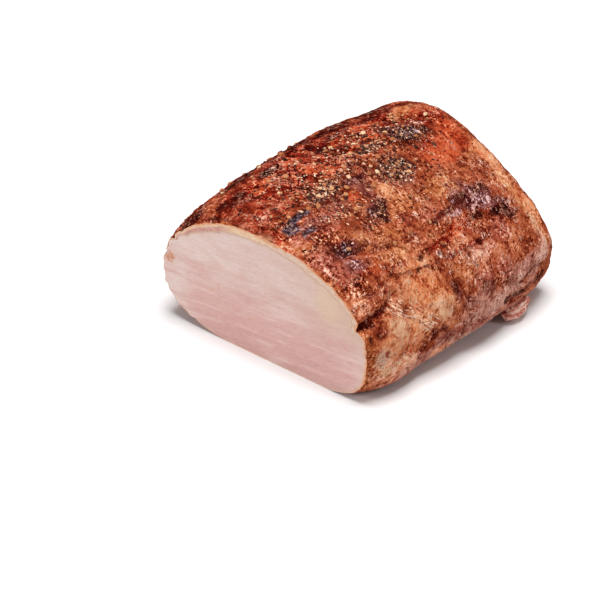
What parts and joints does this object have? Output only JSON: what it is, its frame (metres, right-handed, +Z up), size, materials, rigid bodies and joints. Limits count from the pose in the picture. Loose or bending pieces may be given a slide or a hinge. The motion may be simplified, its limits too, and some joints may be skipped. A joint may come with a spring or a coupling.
{
  "type": "smoked pork loin",
  "caption": "Boneless smoked pork loin lying on its flat side, cut square across at the front, with a browned crust, fat pads and cracked pepper.",
  "frame": {"origin": "on the surface that the loin lies on, under the middle of its length and width", "axes": "+Y from the cut face to the far end, +X to the right as seen from the cut face, +Z up"},
  "size_m": [0.1392, 0.1434, 0.0768],
  "materials": {
    "crust": "glossy smoked crust, red brown over golden fat with dark char, and a pale pink moist cut face",
    "spice": "matte cracked black pepper with cream cores and golden seed"
  },
  "bodies": {
    "root": {"loin": "crust"}
  },
  "joints": []
}
